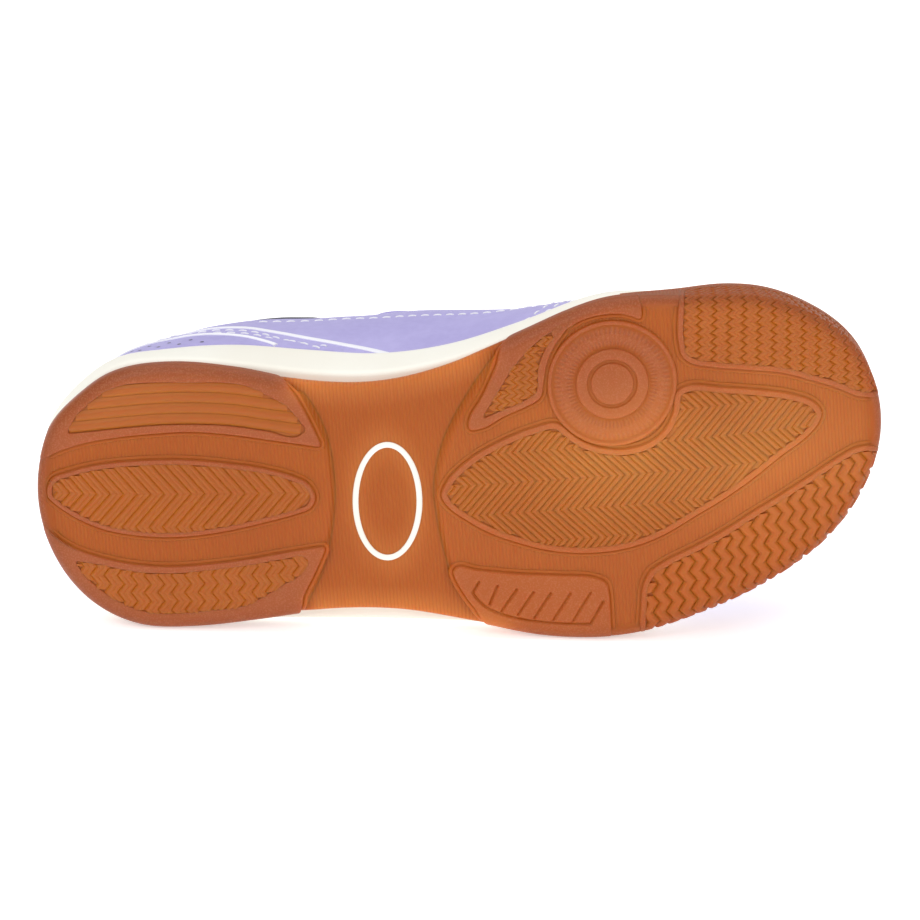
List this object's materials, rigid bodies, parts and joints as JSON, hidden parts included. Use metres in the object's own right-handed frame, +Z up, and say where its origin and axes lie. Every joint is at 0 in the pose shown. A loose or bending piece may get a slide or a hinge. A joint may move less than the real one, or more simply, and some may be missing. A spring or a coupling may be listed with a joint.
{
  "type": "athletic shoe",
  "caption": "Low laced athletic shoe for the left foot, lying on its outer side: hollow lilac upper, off-white midsole and a gum rubber outsole with leaf and block tread.",
  "frame": {"origin": "middle of the bounding box, on the floor that the shoe lies on", "axes": "+X from heel to toe, sole facing -Y, +Z up from the floor with the medial side on top"},
  "size_m": [0.2038, 0.088, 0.086],
  "materials": {
    "gum": "translucent natural gum rubber, satin, with moulded ribs",
    "foam": "off-white moulded foam with a matte skin",
    "upper": "lilac synthetic nubuck, fine matte grain",
    "overlay": "lilac synthetic leather overlays with stitched edges",
    "lining": "charcoal padded textile",
    "lace": "flat woven lace",
    "eyelet": "moulded eyelet rings"
  },
  "bodies": {
    "root": {"outsole": "gum", "waist_oval": "foam", "midsole": "foam", "insole": "lining", "upper": "upper", "toe_cap": "overlay", "heel_counter": "overlay", "eyestay_medial": "overlay", "eyestay_lateral": "overlay", "collar_lining": "lining", "tongue": "upper", "lace": "lace", "eyelet_medial_1": "eyelet", "eyelet_medial_2": "eyelet", "eyelet_medial_3": "eyelet", "eyelet_medial_4": "eyelet", "eyelet_medial_5": "eyelet", "eyelet_lateral_1": "eyelet", "eyelet_lateral_2": "eyelet", "eyelet_lateral_3": "eyelet", "eyelet_lateral_4": "eyelet", "eyelet_lateral_5": "eyelet"}
  },
  "joints": []
}
